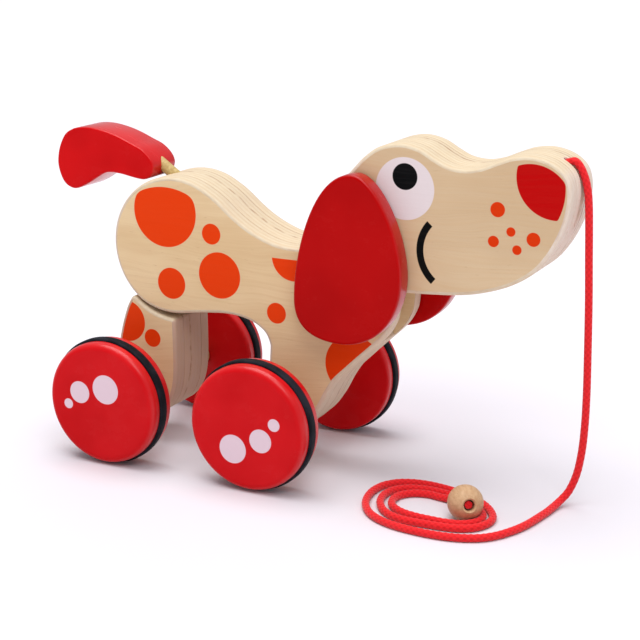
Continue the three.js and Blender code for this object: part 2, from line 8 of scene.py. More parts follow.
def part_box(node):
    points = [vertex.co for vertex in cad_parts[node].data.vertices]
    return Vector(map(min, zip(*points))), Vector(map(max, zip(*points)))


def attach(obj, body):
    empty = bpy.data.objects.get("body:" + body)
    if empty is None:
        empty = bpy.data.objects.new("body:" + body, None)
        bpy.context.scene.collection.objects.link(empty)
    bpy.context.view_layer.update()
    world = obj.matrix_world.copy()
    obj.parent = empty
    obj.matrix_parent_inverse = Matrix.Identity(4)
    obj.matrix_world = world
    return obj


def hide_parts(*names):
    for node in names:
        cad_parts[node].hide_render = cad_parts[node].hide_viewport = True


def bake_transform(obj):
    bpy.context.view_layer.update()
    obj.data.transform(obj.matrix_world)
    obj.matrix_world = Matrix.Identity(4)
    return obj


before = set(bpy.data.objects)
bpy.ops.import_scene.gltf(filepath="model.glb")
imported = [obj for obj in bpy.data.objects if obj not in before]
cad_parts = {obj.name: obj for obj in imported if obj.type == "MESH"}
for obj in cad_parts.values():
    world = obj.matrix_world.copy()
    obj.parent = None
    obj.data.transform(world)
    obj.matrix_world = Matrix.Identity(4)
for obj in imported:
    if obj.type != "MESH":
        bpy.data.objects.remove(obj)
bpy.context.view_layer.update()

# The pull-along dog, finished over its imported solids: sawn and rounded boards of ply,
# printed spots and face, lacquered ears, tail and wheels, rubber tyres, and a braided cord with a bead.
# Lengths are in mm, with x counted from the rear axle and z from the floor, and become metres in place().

MM = 0.001
axle_low, axle_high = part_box("rear_axle")
REAR_AXLE_X = (axle_low.x + axle_high.x) / 2


def place(x, y, z):
    """A point of the toy, in the scene's metres."""
    return Vector((REAR_AXLE_X + x * MM, y * MM, z * MM))


# ---- camera

CAMERA_SENSOR = 36
CAMERA_LENS = 85.955
CAMERA_PLACE = (351.603, -544.975, 232.61)
CAMERA_AIM = (78.341, 0, 61.447)


def set_up(name, data, location, aim):
    """Stands a camera or a light in the scene and aims it at a point."""
    stand = bpy.data.objects.new(name, data)
    bpy.context.scene.collection.objects.link(stand)
    stand.location = location
    stand.rotation_euler = (aim - stand.location).to_track_quat("-Z", "Y").to_euler()
    return stand


camera_data = bpy.data.cameras.new("studio_camera")
camera_data.sensor_fit = "HORIZONTAL"
camera_data.sensor_width = CAMERA_SENSOR
camera_data.lens = CAMERA_LENS
camera = set_up("studio_camera", camera_data, place(*CAMERA_PLACE), place(*CAMERA_AIM))
bpy.context.scene.camera = camera


# ---- sizes

PLY_LAYER = 1.4
CORE_HALF = 6.9
SIDE_INNER = 7
SIDE_OUTER = 14
EDGE_ROUND = 1.5
WHEEL_BASE = 69
AXLE_HEIGHT = 27
RUMP = (17, 88.5)
RUMP_RADIUS = 30
NECK = (103.5, 95)
NECK_RADIUS = 16
EAR_PIN = (103, 118)
# Half the width of a printed rim's softness, and how far below a face its print ends and is full
PRINT_SOFT = 0.12
PRINT_END = 0.8
PRINT_FULL = 0.6
BUMP_DEPTH = 0.2


# ---- writing materials

def shade(red, green, blue):
    """A colour as the eye reads it, from 0 to 255, as the shader's linear one."""
    parts = [part / 255 for part in (red, green, blue)]
    return (*[part / 12.92 if part <= 0.04045 else ((part + 0.055) / 1.055) ** 2.4 for part in parts], 1)


class Recipe:
    """A node tree that is written one node at a time."""

    def __init__(self, tree):
        self.tree = tree

    def add(self, kind, inputs=None, **settings):
        node = self.tree.nodes.new("ShaderNode" + kind)
        for setting, value in settings.items():
            setattr(node, setting, value)
        for socket, value in (inputs or {}).items():
            self.feed(node.inputs[socket], value)
        return node

    def feed(self, socket, value):
        if isinstance(value, bpy.types.NodeSocket):
            self.tree.links.new(value, socket)
        else:
            socket.default_value = value

    def sum(self, operation, *values):
        return self.add("Math", dict(enumerate(values)), operation=operation).outputs[0]

    def times(self, a, b):
        return self.sum("MULTIPLY", a, b)

    def minus(self, a, b):
        return self.sum("SUBTRACT", a, b)

    def length(self, a, b):
        return self.sum("SQRT", self.sum("ADD", self.sum("POWER", a, 2.0), self.sum("POWER", b, 2.0)))

    def apart(self, a, b):
        return self.sum("ABSOLUTE", self.minus(a, b))

    def swayed(self, value, sway, reach):
        """The value, pushed to and fro by a noise."""
        return self.sum("MULTIPLY_ADD", self.minus(sway, 0.5), reach, value)

    def blend(self, factor, first, second):
        return self.add("Mix", {0: factor, 6: first, 7: second}, data_type="RGBA").outputs[2]

    def tint(self, colour, other, mask, strength):
        """The colour, with some of another where the mask is."""
        return self.blend(self.times(mask, strength), colour, other)

    def step(self, value, low, high, to_low=0.0, to_high=1.0):
        """A soft step from one value to another."""
        values = {"Value": value, "From Min": low, "From Max": high, "To Min": to_low, "To Max": to_high}
        return self.add("MapRange", values, interpolation_type="SMOOTHSTEP").outputs[0]

    def inside(self, off_rim):
        """A mask of what lies inside a printed rim."""
        return self.step(off_rim, -PRINT_SOFT, PRINT_SOFT, 1, 0)

    def noise(self, vector, scale, detail=3, roughness=0.5):
        """A noise at one scale, or at one for each axis."""
        if isinstance(scale, tuple):
            vector = self.add("Mapping", {"Vector": vector, "Scale": scale}).outputs[0]
            scale = 1.0
        values = {"Vector": vector, "Scale": scale, "Detail": detail, "Roughness": roughness}
        return self.add("TexNoise", values).outputs[0]

    def use(self, mix, **inputs):
        """The outputs of a node group, which is given its inputs by name."""
        inputs = {socket.replace("_", " "): value for socket, value in inputs.items()}
        return self.add("Group", inputs, node_tree=mix).outputs


class Effect(Recipe):
    """A node group with named inputs and outputs."""

    def __init__(self, name, inputs, outputs):
        mix = bpy.data.node_groups.new(name, "ShaderNodeTree")
        for way, sockets in (("INPUT", inputs), ("OUTPUT", outputs)):
            for socket in sockets:
                kind = "NodeSocketVector" if socket == "Point" else "NodeSocketFloat"
                mix.interface.new_socket(socket, in_out=way, socket_type=kind)
        super().__init__(mix)
        self.inputs = mix.nodes.new("NodeGroupInput").outputs
        self.outputs = mix.nodes.new("NodeGroupOutput").inputs

    def give(self, **values):
        for socket, value in values.items():
            self.feed(self.outputs[socket.replace("_", " ")], value)
        return self.tree


def make_toy_place():
    """Where a point of the toy is, in mm, with x from the rear axle."""
    mix = Effect("toy_place", [], ["Point", "Across", "Side", "Up"])
    coordinates = mix.add("TexCoord").outputs["Object"]
    axle = (-REAR_AXLE_X / MM, 0, 0)
    scaled = mix.add("VectorMath", {0: coordinates, 1: (1 / MM,) * 3, 2: axle}, operation="MULTIPLY_ADD")
    parts = mix.add("SeparateXYZ", {0: scaled.outputs[0]}).outputs
    return mix.give(Point=scaled.outputs[0], Across=parts[0], Side=parts[1], Up=parts[2])


def from_middle(mix):
    """How far a point is ahead of and above the middle that the group is given."""
    here = mix.use(toy_place)
    return [mix.minus(here[way], mix.inputs[way]) for way in ("Across", "Up")]


def make_round_spot():
    """A printed disc, given by its middle and radius, and how far a point is off its rim."""
    mix = Effect("round_spot", ["Across", "Up", "Radius"], ["Mask", "Off rim"])
    across, up = from_middle(mix)
    off_rim = mix.minus(mix.length(across, up), mix.inputs["Radius"])
    return mix.give(Mask=mix.inside(off_rim), Off_rim=off_rim)


def make_stroke():
    """A printed line along an arc, from one angle to another that is less than half a turn on."""
    mix = Effect("stroke", ["Across", "Up", "Radius", "Half width", "From", "To"], ["Mask"])
    across, up = from_middle(mix)
    off_line = mix.apart(mix.length(across, up), mix.inputs["Radius"])
    mask = mix.inside(mix.minus(off_line, mix.inputs["Half width"]))
    for end, turn in (("From", 1.0), ("To", -1.0)):
        sine = mix.sum("SINE", mix.inputs[end])
        cosine = mix.sum("COSINE", mix.inputs[end])
        rise = mix.times(up, cosine)
        cross = mix.minus(rise, mix.times(across, sine))
        beyond = mix.step(mix.times(cross, turn), -PRINT_SOFT, PRINT_SOFT)
        mask = mix.times(mask, beyond)
    return mix.give(Mask=mask)


# How far the grain wanders up and down, the glue lines sway, and the seam sways
GRAIN_WANDER = 26.0
GLUE_SWAY = 0.5
SEAM_SWAY = 3.0


def make_wood_grain():
    """Long streaks along x, broad clouds of tone, and short dark flecks, as on sliced birch."""
    mix = Effect("wood_grain", ["Seed"], ["Streak", "Cloud", "Fleck"])
    point = mix.use(toy_place)["Point"]
    apart = mix.add("CombineXYZ", {1: mix.inputs["Seed"], 2: mix.inputs["Seed"]}).outputs[0]
    point = mix.add("VectorMath", {0: point, 1: apart}, operation="ADD").outputs[0]
    warp = mix.noise(point, (0.012, 0.03, 0.03), detail=2)
    lift = mix.add("CombineXYZ", {2: mix.times(warp, GRAIN_WANDER)}).outputs[0]
    warped = mix.add("VectorMath", {0: point, 1: lift}, operation="ADD").outputs[0]
    streak = mix.noise(warped, (0.03, 0.5, 0.9), detail=4, roughness=0.6)
    cloud = mix.noise(point, (0.02, 0.03, 0.045), detail=2)
    fleck = mix.noise(warped, (0.16, 0.6, 1.9), detail=2, roughness=0.55)
    return mix.give(
        Streak=mix.step(streak, 0.34, 0.68),
        Cloud=mix.step(cloud, 0.3, 0.7),
        Fleck=mix.step(fleck, 0.69, 0.76),
    )


def make_ply_edge():
    """The sawn edge of ply: glue lines, layers that turn their grain by turns, and one ragged seam."""
    mix = Effect("ply_edge", ["Seam at"], ["Glue", "Turned", "Fibre", "Joint", "Seam"])
    here = mix.use(toy_place)
    point = here["Point"]
    side = mix.sum("ABSOLUTE", here["Side"])
    wave = mix.noise(point, (0.06, 0.0, 0.06), detail=2)
    layers = mix.sum("DIVIDE", mix.swayed(side, wave, GLUE_SWAY), PLY_LAYER)
    from_glue = mix.sum("PINGPONG", layers, 0.5)
    strength = mix.step(mix.noise(point, (0.07, 0.6, 0.07)), 0.45, 0.7)
    wander = mix.noise(point, (0.07, 0.0, 0.07))
    from_seam = mix.apart(here["Side"], mix.swayed(mix.inputs["Seam at"], wander, SEAM_SWAY))
    ragged = mix.step(mix.noise(point, (0.25, 0.6, 0.25), detail=4), 0.38, 0.6)
    return mix.give(
        Glue=mix.times(mix.step(from_glue, 0.03, 0.12, 1, 0), strength),
        Turned=mix.step(mix.sum("PINGPONG", layers, 1.0), 0.45, 0.55),
        Fibre=mix.noise(point, (0.35, 2.6, 0.35), detail=4, roughness=0.62),
        Joint=mix.step(mix.apart(side, SIDE_INNER), 0.08, 0.3, 1, 0),
        Seam=mix.times(mix.step(from_seam, 0.2, 1.0, 1, 0), ragged),
    )


def make_facing():
    """How far a board's surface turns away from its flats, and how squarely it faces along x, across the
    grain: where end grain shows and where painted shade is put.
    """
    mix = Effect("facing", [], ["Edge", "End"])
    normal = mix.add("Attribute", attribute_name="facing").outputs["Vector"]
    ways = mix.add("SeparateXYZ", {0: normal}).outputs
    away = mix.length(ways[0], ways[2])
    end = mix.sum("DIVIDE", mix.sum("ABSOLUTE", ways[0]), mix.sum("MAXIMUM", away, 0.05))
    return mix.give(Edge=mix.step(away, 0.35, 0.95), End=mix.step(end, 0.5, 0.95))


def make_lacquer_skin():
    """The faint ripple, dust and fine rubbing of a sprayed and handled coat of lacquer."""
    mix = Effect("lacquer_skin", [], ["Ripple", "Rubbed", "Tone"])
    point = mix.use(toy_place)["Point"]
    rubbed = mix.noise(point, (0.09, 0.2, 0.12), detail=5, roughness=0.65)
    tone = mix.noise(point, 0.035, detail=2)
    return mix.give(
        Ripple=mix.noise(point, 0.55, detail=2),
        Rubbed=mix.step(rubbed, 0.42, 0.72),
        Tone=mix.step(tone, 0.3, 0.7),
    )


toy_place = make_toy_place()
round_spot = make_round_spot()
stroke = make_stroke()
wood_grain = make_wood_grain()
ply_edge = make_ply_edge()
facing = make_facing()
lacquer_skin = make_lacquer_skin()


class Finish(Recipe):
    """A material with one shader, whose constant values are set on its own sockets."""

    def __init__(self, name, **constants):
        self.material = bpy.data.materials.new(name)
        self.material.use_nodes = True
        super().__init__(self.material.node_tree)
        self.shader = self.tree.nodes["Principled BSDF"]
        for socket, value in constants.items():
            self.shader.inputs[socket.replace("_", " ")].default_value = value

    def done(self, colour, roughness, height=None, strength=None):
        inputs = self.shader.inputs
        self.feed(inputs["Base Color"], colour)
        self.feed(inputs["Roughness"], roughness)
        if height is not None:
            values = {"Height": height, "Strength": strength, "Distance": BUMP_DEPTH * MM}
            self.feed(inputs["Normal"], self.add("Bump", values).outputs[0])
        return self.material

    def spots(self, places):
        """One mask for several round spots, each given as x, z and radius."""
        mask = None
        for across, up, radius in places:
            spot = self.use(round_spot, Across=across, Up=up, Radius=radius)["Mask"]
            mask = spot if mask is None else self.sum("MAXIMUM", mask, spot)
        return mask

    def shared(self, ease, *places):
        """Where all of the round spots overlap, with the corners eased."""
        off_rim = -100.0
        for across, up, radius in places:
            spot = self.use(round_spot, Across=across, Up=up, Radius=radius)
            off_rim = self.sum("SMOOTH_MAX", off_rim, spot["Off rim"], ease)
        return self.inside(off_rim)

    def outer_face(self, at):
        """Only the flat that faces away from the toy's middle."""
        side = self.sum("ABSOLUTE", self.use(toy_place)["Side"])
        return self.step(side, at - PRINT_END, at - PRINT_FULL)


# ---- wood

PALE = shade(223, 193, 148)
PALE_LIGHT = shade(234, 208, 165)
HEAD_PALE = shade(206, 178, 142)
HEAD_LIGHT = shade(215, 189, 153)
GRAIN = shade(206, 170, 126)
FLECK = shade(166, 122, 84)
EDGE = shade(220, 206, 180)
EDGE_TURNED = shade(208, 188, 157)
GLUE = shade(150, 104, 74)
# Colours of the edges that face fore and aft: end grain with painted shade, darkest on the leg
BODY_END_GRAIN_AND_SHADE = shade(216, 198, 178)
LEG_END_GRAIN_AND_SHADE = shade(196, 165, 148)
HEAD_END_GRAIN_AND_SHADE = shade(228, 214, 202)
ORANGE = shade(230, 63, 10)
MUZZLE_ORANGE = shade(214, 54, 8)
PRINT_RED = shade(186, 5, 6)
EYE_WHITE = shade(226, 214, 214)
PRINT_BLACK = shade(8, 9, 10)

BODY_SPOTS = [
    (38.7, 79.1, 9.85), (15.25, 73.1, 6.75), (35.1, 96.3, 4.4), (65.4, 66.2, 4.4), (100.7, 48.4, 12.9),
]
LEG_SPOTS = [(-7.9, 53.9, 9.15), (4.9, 47.7, 4.0)]
MUZZLE_SPOTS = [
    (159.6, 118, 2.9), (158.3, 105.7, 2.2), (165.1, 110, 1.8), (167.7, 103.3, 1.85), (174, 107.9, 2.7),
]
EAR_SPOT = (73.1, 90.1, 9.6)
EAR_SPOT_TOP = (89.3, 89.5)
EYE = (121.7, 122.7, 12.2)
PUPIL = (121.7, 127.4, 5.2)
# Printed shapes where several circles overlap, with how much their corners are eased
RUMP_PATCH = (2.5, (12.8, 103.7, 15.1), (12.9, 85.2, 28.9))
NOSE_PATCH = (0.9, (172.6, 120.2, 16.0), (160.9, 126.9, 24.7), (182.2, 131.5, 15.7))
# The mouth's circle, half the width of its line, and the angles of its ends
MOUTH = (144.1, 99.6, 15.65)
MOUTH_HALF_WIDTH = 1.45
MOUTH_ENDS = (138.5, 231)


def face_wood(name, seed, paint, pale, light):
    """The flat of a board: birch with its printed spots, under a thin satin coat."""
    coat = Finish(name, Specular_IOR_Level=0.04)
    grain = coat.use(wood_grain, Seed=seed)
    colour = coat.blend(grain["Cloud"], pale, light)
    colour = coat.tint(colour, GRAIN, grain["Streak"], 0.24)
    colour = coat.tint(colour, FLECK, grain["Fleck"], 0.3)
    on_face = coat.outer_face(SIDE_OUTER)
    printed = None
    for tint, mask in paint(coat):
        mask = coat.times(mask, on_face)
        faded = coat.times(mask, coat.step(grain["Streak"], 0.0, 1.0, 1.0, 0.995))
        colour = coat.blend(faded, colour, tint)
        printed = mask if printed is None else coat.sum("MAXIMUM", printed, mask)
    roughness = coat.step(grain["Streak"], 0.0, 1.0, 0.46, 0.56)
    roughness = coat.minus(roughness, coat.times(printed, 0.1))
    height = coat.sum("MULTIPLY_ADD", printed, 0.25, grain["Streak"])
    return coat.done(colour, roughness, height, 0.14)


def body_paint(coat):
    rump = coat.shared(*RUMP_PATCH)
    under_back = coat.step(coat.use(toy_place)["Up"], *EAR_SPOT_TOP, 1, 0)
    behind_ear = coat.sum("MINIMUM", coat.spots([EAR_SPOT]), under_back)
    mask = coat.sum("MAXIMUM", coat.spots(BODY_SPOTS), rump)
    yield ORANGE, coat.sum("MAXIMUM", mask, behind_ear)


def leg_paint(coat):
    yield ORANGE, coat.spots(LEG_SPOTS)


def head_paint(coat):
    yield EYE_WHITE, coat.spots([EYE])
    yield PRINT_BLACK, coat.spots([PUPIL])
    across, up, radius = MOUTH
    start, end = [radians(angle) for angle in MOUTH_ENDS]
    yield PRINT_BLACK, coat.use(
        stroke, Across=across, Up=up, Radius=radius, Half_width=MOUTH_HALF_WIDTH, From=start, To=end,
    )["Mask"]
    yield PRINT_RED, coat.shared(*NOSE_PATCH)
    yield MUZZLE_ORANGE, coat.spots(MUZZLE_SPOTS)


def edge_wood(name, seam_at, end):
    """The sawn edge of the boards, darker where the saw cut across the grain, with painted shade on the
    edges that face fore and aft.
    """
    coat = Finish(name, Specular_IOR_Level=0.1)
    ply = coat.use(ply_edge, Seam_at=seam_at)
    colour = coat.tint(EDGE, EDGE_TURNED, ply["Turned"], 0.6)
    # Painted shade and end grain together darken the edges that face along x
    colour = coat.tint(colour, end, coat.use(facing)["End"], 0.85)
    colour = coat.blend(coat.step(ply["Fibre"], 0.3, 0.7, 0.0, 0.3), colour, GRAIN)
    for line, strength in (("Glue", 0.26), ("Joint", 0.35), ("Seam", 0.6)):
        colour = coat.tint(colour, GLUE, ply[line], strength)
    roughness = coat.step(ply["Fibre"], 0.3, 0.7, 0.5, 0.66)
    height = coat.minus(ply["Fibre"], coat.times(ply["Glue"], 0.8))
    return coat.done(colour, roughness, height, 0.3)


def dowel_wood(name, light, dark):
    """Turned hardwood for the pegs, pins, axles and spacers."""
    coat = Finish(name, Specular_IOR_Level=0.2)
    point = coat.use(toy_place)["Point"]
    streak = coat.noise(point, (0.9, 0.12, 0.9), detail=4, roughness=0.6)
    ring = coat.noise(point, 0.25, detail=2)
    colour = coat.blend(coat.step(streak, 0.3, 0.7), light, dark)
    colour = coat.blend(coat.step(ring, 0.45, 0.75, 0.0, 0.35), colour, FLECK)
    return coat.done(colour, coat.step(streak, 0.3, 0.7, 0.42, 0.58), streak, 0.25)


def lacquer(name, deep, bright, rub, dots=()):
    """Sprayed lacquer over wood, glossier round its rims, with pale printed dots on a wheel."""
    coat = Finish(name, Specular_IOR_Level=0.05, Coat_Roughness=0.3)
    rim_gloss = coat.times(coat.use(facing)["Edge"], 0.7)
    coat.feed(coat.shader.inputs["Coat Weight"], rim_gloss)
    skin = coat.use(lacquer_skin)
    colour = coat.blend(skin["Tone"], deep, bright)
    colour = coat.tint(colour, rub, skin["Rubbed"], 0.07)
    if dots:
        mask = coat.times(coat.spots(dots), coat.outer_face(WHEEL_OUTER))
        colour = coat.blend(mask, colour, DOT_PINK)
    roughness = coat.step(skin["Rubbed"], 0.0, 1.0, 0.2, 0.32)
    return coat.done(colour, roughness, skin["Ripple"], 0.05)


def tyre_rubber():
    """Black rubber with fine grit and a dusty bloom."""
    coat = Finish("tyre_rubber", Specular_IOR_Level=0.1)
    point = coat.use(toy_place)["Point"]
    grit = coat.noise(point, 2.2, detail=4, roughness=0.7)
    bloom = coat.noise(point, 0.16)
    colour = coat.blend(coat.step(bloom, 0.35, 0.75), shade(16, 18, 24), shade(34, 36, 44))
    colour = coat.blend(coat.step(grit, 0.55, 0.8, 0.0, 0.4), colour, shade(60, 60, 70))
    return coat.done(colour, coat.step(grit, 0.3, 0.7, 0.5, 0.72), grit, 0.35)


def cord_braid():
    """Red polyester braid: staggered strands along the cord's own map, in mm along and turns round."""
    coat = Finish("cord_braid", Sheen_Weight=0.2, Sheen_Roughness=0.5, Specular_IOR_Level=0.15)
    on_cord = coat.add("UVMap", uv_map="cord_map").outputs[0]
    along_round = coat.add("SeparateXYZ", {0: on_cord}).outputs
    along = coat.times(along_round[0], tau / BRAID_PITCH)
    strands = coat.times(along_round[1], tau * BRAID_STRANDS)
    weave = coat.times(coat.sum("SINE", strands), coat.sum("SINE", along))
    thread_place = coat.add("CombineXYZ", {0: along, 1: strands}).outputs[0]
    thread = coat.noise(thread_place, 1.3, roughness=0.6)
    height = coat.sum("MULTIPLY_ADD", thread, 0.5, weave)
    # Painted light and shade: the red is lighter on the weave's crests and darker where it dips between
    # strands
    colour = coat.blend(coat.step(weave, -0.9, 0.7), shade(210, 14, 20), shade(234, 24, 32))
    colour = coat.blend(coat.step(thread, 0.4, 0.75, 0.0, 0.25), colour, shade(240, 84, 88))
    return coat.done(colour, coat.step(thread, 0.3, 0.7, 0.6, 0.8), height, 0.35)


def bead_wood():
    """Plain turned bead with the grain running through its hole."""
    coat = Finish("bead_wood", Specular_IOR_Level=0.2)
    point = coat.use(toy_place)["Point"]
    lined_up = coat.add("Mapping", {"Vector": point, "Rotation": (0, 0, -BEAD_TURN)}).outputs[0]
    streak = coat.noise(lined_up, (0.1, 0.9, 0.9), detail=4, roughness=0.6)
    pore = coat.noise(lined_up, (0.35, 2.2, 2.2), detail=2)
    colour = coat.blend(coat.step(streak, 0.3, 0.7), shade(204, 168, 130), shade(188, 148, 110))
    colour = coat.blend(coat.step(pore, 0.62, 0.74, 0.0, 0.3), colour, shade(150, 106, 70))
    return coat.done(colour, coat.step(streak, 0.3, 0.7, 0.36, 0.5), streak, 0.2)


# ---- the cord and its bead

CORD_RADIUS = 1.5
BRAID_STRANDS = 5
BRAID_PITCH = 2.4
BRAID_RELIEF = 0.05
RING_SIDES = 20
RING_STEP = 0.4
HOLE_ANGLE = radians(20)
CORD_IN_HOLE = 6
HOLE_MOUTH = (180.4, 0, 134.7)
# From the nose to the floor: x ahead of the neck pin, y, and z above the floor
CORD_ROUTE = [
    (80.7, 0, 136), (82.7, 0, 134.4), (84.2, 0, 131.8), (85.4, 0, 128.6), (86.3, 0, 124.8),
    (86.9, 0, 119.5), (87.4, 0, 110.7), (87.9, 0, 99.2), (88.6, 0, 83.7), (89.2, 0, 64),
    (89.6, 0, 45), (89.4, 0, 31.6), (88.7, -0.2, 21.5), (87.2, -0.9, 12.5), (84.8, -2.4, 5.9),
    (82.7, -5, 3), (81.4, -9.6, 1.8),
]
# The stretch that lies and its loops, from the outside in: x ahead of the neck pin, and y
LOOP_ROUTE = [
    (80.5, -15.8), (79.4, -21.9), (78.2, -28.1), (76.5, -34.1), (74.1, -39.8), (71, -45.2),
    (66.7, -49.7), (61.2, -52.7), (55.2, -54.4), (49, -55),
    (42.8, -54.9), (36.6, -54.3), (30.5, -52.9), (24.8, -50.4), (19.8, -46.7), (15.9, -41.8),
    (13.2, -36.2), (11.7, -30.1), (11.5, -23.9), (13.1, -17.9), (17, -13.1), (22.6, -10.4),
    (28.8, -9.6), (35, -10.2), (41.1, -11.5), (47, -13.5), (52.5, -16.4), (57.4, -20.3),
    (61.4, -25), (64.1, -30.6), (63.9, -36.8), (60.9, -42.2), (55.6, -45.4), (49.5, -46.6),
    (43.2, -47), (37, -47.2), (30.8, -46.4), (25.3, -43.5), (21.1, -39), (18.2, -33.4),
    (17.1, -27.3), (18.4, -21.3), (22.7, -16.9), (28.6, -14.9), (34.8, -14.8), (40.9, -15.9),
    (46.8, -18), (52.3, -21), (56.8, -25.3), (60.1, -30.6), (59.7, -36.6), (55.4, -40.9),
    (49.3, -42.3), (43.1, -42.4), (36.9, -42), (30.8, -40.5), (25.6, -37.2), (22.5, -31.9),
    (22.7, -25.8), (26.6, -21), (32.4, -19.1), (38.3, -19.8),
]
LEAD_HANDLE = 6
LEAD_STEPS = 6
BEAD_RADIUS = 7
BEAD_CENTRE = (157.2, -33, BEAD_RADIUS)
BEAD_HALF_LENGTH = 6.4
BEAD_HOLE = 2.2
BEAD_BEVEL = 0.5
BEAD_TURN = radians(-54)
BEAD_LIFT = radians(11)
BEAD_ENTRY_STRAIGHT = 3
CORD_END_COVER = 1.6

bead_axis = Vector((
    cos(BEAD_LIFT) * cos(BEAD_TURN),
    cos(BEAD_LIFT) * sin(BEAD_TURN),
    sin(BEAD_LIFT),
))


def bezier(corners, steps):
    """The points of one cubic curve after its first."""
    a, b, c, d = corners
    points = []
    for k in range(1, steps + 1):
        t = k / steps
        u = 1 - t
        points.append(a * u ** 3 + b * (3 * u * u * t) + c * (3 * u * t * t) + d * t ** 3)
    return points


def cord_line():
    """The route's own points, from inside the nose to inside the bead."""
    out_of_hole = Vector((cos(HOLE_ANGLE), 0, sin(HOLE_ANGLE)))
    points = [Vector(HOLE_MOUTH) - out_of_hole * CORD_IN_HOLE, Vector(HOLE_MOUTH)]
    points += [Vector((NECK[0] + x, y, z)) for x, y, z in CORD_ROUTE]
    points += [Vector((NECK[0] + x, y, CORD_RADIUS)) for x, y in LOOP_ROUTE]
    end = points[-1]
    heading = (end - points[-2]).normalized()
    middle = Vector(BEAD_CENTRE)
    entry = middle - bead_axis * (BEAD_HALF_LENGTH + BEAD_ENTRY_STRAIGHT)
    lead = [end, end + heading * LEAD_HANDLE, entry - bead_axis * LEAD_HANDLE / 2, entry]
    points += bezier(lead, LEAD_STEPS)
    points += [middle, middle + bead_axis * (BEAD_HALF_LENGTH - CORD_END_COVER)]
    return points


def between(a, b, start, end, t):
    return a * ((end - t) / (end - start)) + b * ((t - start) / (end - start))


def smooth_line(points, step):
    """A centripetal curve through the points, in even steps."""
    fine = []
    whole = [points[0] * 2 - points[1], *points, points[-1] * 2 - points[-2]]
    for a, b, c, d in zip(whole, whole[1:], whole[2:], whole[3:]):
        ta = 0
        tb = (b - a).length ** 0.5
        tc = tb + (c - b).length ** 0.5
        td = tc + (d - c).length ** 0.5
        count = max(4, round((c - b).length / step * 2))
        for k in range(count):
            t = tb + (tc - tb) * k / count
            ab, bc, cd = between(a, b, ta, tb, t), between(b, c, tb, tc, t), between(c, d, tc, td, t)
            abc, bcd = between(ab, bc, ta, tc, t), between(bc, cd, tb, td, t)
            fine.append(between(abc, bcd, tb, tc, t))
    fine.append(points[-1])
    return evenly_open(fine, step)


def evenly_open(points, step):
    lengths = [0]
    for a, b in zip(points, points[1:]):
        lengths.append(lengths[-1] + (b - a).length)
    count = round(lengths[-1] / step)
    even = []
    at = 0
    for k in range(count + 1):
        goal = lengths[-1] * k / count
        while at < len(points) - 2 and lengths[at + 1] < goal:
            at += 1
        share = (goal - lengths[at]) / (lengths[at + 1] - lengths[at])
        even.append(points[at].lerp(points[at + 1], min(max(share, 0), 1)))
    return even


def make_cord(line):
    """A tube of rings with the braid's low relief, and a map of mm along and turns round."""
    normal = Vector((0, 1, 0))
    corners = []
    for k, point in enumerate(line):
        tangent = (line[min(k + 1, len(line) - 1)] - line[max(k - 1, 0)]).normalized()
        normal = (normal - tangent * normal.dot(tangent)).normalized()
        across = tangent.cross(normal)
        for s in range(RING_SIDES):
            turn = s / RING_SIDES
            strands = tau * BRAID_STRANDS * turn
            along = tau * k * RING_STEP / BRAID_PITCH
            relief = 1 + BRAID_RELIEF * sin(strands) * sin(along)
            angle = tau * turn
            out = normal * cos(angle) + across * sin(angle)
            corners.append(place(*(point + out * CORD_RADIUS * relief)))
    faces = []
    for k in range(len(line) - 1):
        for s in range(RING_SIDES):
            a = k * RING_SIDES + s
            b = k * RING_SIDES + (s + 1) % RING_SIDES
            faces.append((a, b, b + RING_SIDES, a + RING_SIDES))
    sides = len(faces)
    last = (len(line) - 1) * RING_SIDES
    faces += [tuple(reversed(range(RING_SIDES))), tuple(range(last, last + RING_SIDES))]
    mesh = bpy.data.meshes.new("red_cord")
    mesh.from_pydata(corners, [], faces)
    cord_map = mesh.uv_layers.new(name="cord_map")
    for polygon in mesh.polygons:
        polygon.use_smooth = polygon.index < sides
        for loop_index in polygon.loop_indices:
            vertex = mesh.loops[loop_index].vertex_index
            turn = vertex % RING_SIDES
            if polygon.index < sides and turn == 0 and polygon.index % RING_SIDES == RING_SIDES - 1:
                turn = RING_SIDES
            cord_map.data[loop_index].uv = (vertex // RING_SIDES * RING_STEP, turn / RING_SIDES)
    cord = bpy.data.objects.new("red_cord", mesh)
    bpy.context.scene.collection.objects.link(cord)
    mesh.materials.append(cord_braid())
    return cord


# ---- working a piece in edit mode

PARTS = ("vertices", "edges", "polygons")
# In metres: how near parts are to a plane that they lie in, and corners that are joined
PLANE_REACH = 0.00001
WELD_REACH = 0.000002
RIM_INSET = 0.15
FLAT_CORNERS = 40
SMOOTH_ANGLE = radians(35)


def choose(piece):
    """Makes this the only selected piece."""
    bpy.ops.object.select_all(action="DESELECT")
    piece.select_set(True)
    bpy.context.view_layer.objects.active = piece


def select_parts(piece, kind, test=lambda part: True):
    """Goes into edit mode with only those corners, edges or faces selected that pass the test."""
    choose(piece)
    for name in PARTS:
        parts = getattr(piece.data, name)
        parts.foreach_set("select", [False] * len(parts))
    for part in getattr(piece.data, kind):
        part.select = bool(test(part))
    bpy.context.tool_settings.mesh_select_mode = [name == kind for name in PARTS]
    bpy.ops.object.mode_set(mode="EDIT")


def leave_edit():
    bpy.ops.object.mode_set(mode="OBJECT")


def just_added(name):
    """The primitive that was just added, under its name."""
    piece = bpy.context.active_object
    piece.name = name
    piece.data.name = name
    return piece


